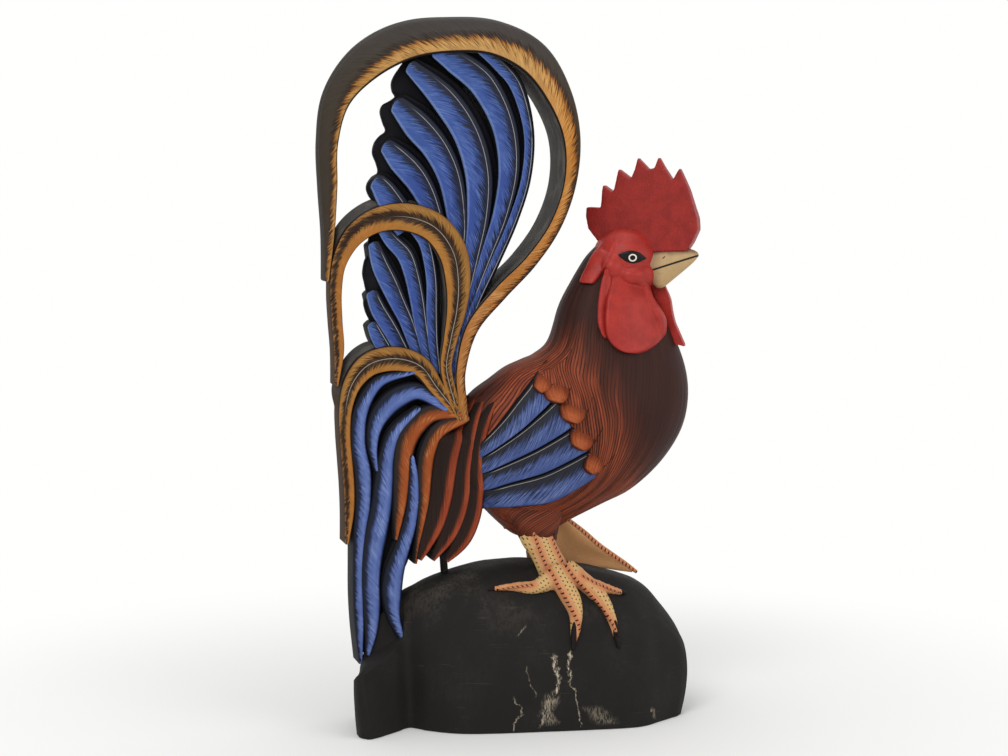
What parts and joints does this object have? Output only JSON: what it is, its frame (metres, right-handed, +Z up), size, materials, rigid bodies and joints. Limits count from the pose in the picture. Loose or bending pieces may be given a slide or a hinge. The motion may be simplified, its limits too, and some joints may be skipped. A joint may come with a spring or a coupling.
{
  "type": "wooden rooster carving",
  "caption": "Carved and painted wooden rooster with arched hoop tail feathers, standing on a rounded log base.",
  "frame": {"origin": "centre of the bounding box at the base underside", "axes": "+Z up, +X from the tail towards the breast, +Y away from the viewer"},
  "size_m": [0.436, 0.214, 0.8002],
  "materials": {
    "log_base_paint": "matte charcoal paint, scuffed",
    "leg_paint": "satin cream and peach paint with dark dots",
    "dowel_wood": "bare turned wood",
    "body_paint": "satin maroon brown paint streaked with rust",
    "wing_paint": "satin slate blue paint with black barbs",
    "rust_paint": "satin rust orange paint",
    "hoop_paint": "satin ochre paint edged dark brown",
    "blue_paint": "satin blue paint with black barbs",
    "red_paint": "glossy red paint",
    "beak_paint": "satin horn coloured paint"
  },
  "bodies": {
    "root": {"base_mound": "log_base_paint", "rump_prop_peg": "log_base_paint", "near_leg": "leg_paint", "far_leg": "leg_paint", "near_foot_dowel": "dowel_wood", "far_foot_dowel": "dowel_wood", "near_thigh_dowel": "dowel_wood", "far_thigh_dowel": "dowel_wood", "neck_dowel": "dowel_wood", "comb_dowel": "dowel_wood", "body": "body_paint", "saddle_plumes": "body_paint", "near_wing": "wing_paint", "far_wing": "wing_paint", "near_shoulder_scallops": "rust_paint", "far_shoulder_scallops": "rust_paint", "outer_hoop_feather": "hoop_paint", "middle_hoop_feather": "hoop_paint", "lower_hoop_feather": "hoop_paint", "upper_tail_fan": "blue_paint", "middle_tail_fan": "blue_paint", "outer_blue_sickle": "blue_paint", "short_blue_sickle": "blue_paint", "long_blue_sickle": "blue_paint", "inner_blue_sickle": "blue_paint", "long_rust_sickle": "rust_paint", "short_rust_sickle": "rust_paint", "head": "red_paint", "comb": "red_paint", "near_wattle": "red_paint", "far_wattle": "red_paint", "near_ear_lobe": "red_paint", "far_ear_lobe": "red_paint", "beak": "beak_paint"}
  },
  "joints": []
}
